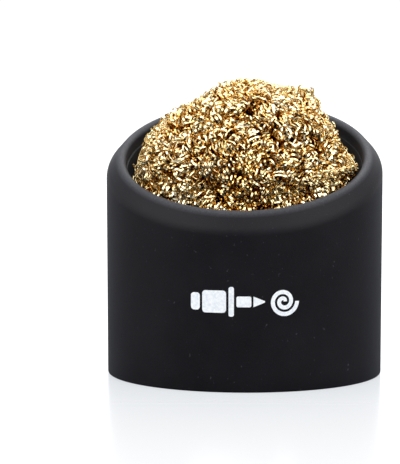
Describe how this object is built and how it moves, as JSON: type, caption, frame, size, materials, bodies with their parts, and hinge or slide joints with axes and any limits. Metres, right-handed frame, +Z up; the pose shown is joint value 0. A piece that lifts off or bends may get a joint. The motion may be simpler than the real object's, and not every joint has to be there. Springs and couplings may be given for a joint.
{
  "type": "soldering tip cleaner",
  "caption": "Wad of curled brass wool standing out of a black silicone cup whose thick rounded rim slopes down to the front.",
  "frame": {"origin": "centre of the flat base, on the surface that the holder stands on", "axes": "+Z up along the cup's axis, -Y to the front, where the sloping rim is lowest, +X to the right seen from the front"},
  "size_m": [0.07, 0.07, 0.075],
  "materials": {
    "silicone": "black moulded silicone, satin, fine grain",
    "brass": "bright machined brass ribbon, curled",
    "white_ink": "pad-printed white ink"
  },
  "bodies": {
    "holder": {"holder": "silicone"},
    "wool": {"brass_wool": "brass"}
  },
  "joints": [
    {"name": "wool_lift", "type": "slide", "parent": "holder", "child": "wool", "axis": [0, 0, 1], "range_m": [0, 0.075]}
  ]
}
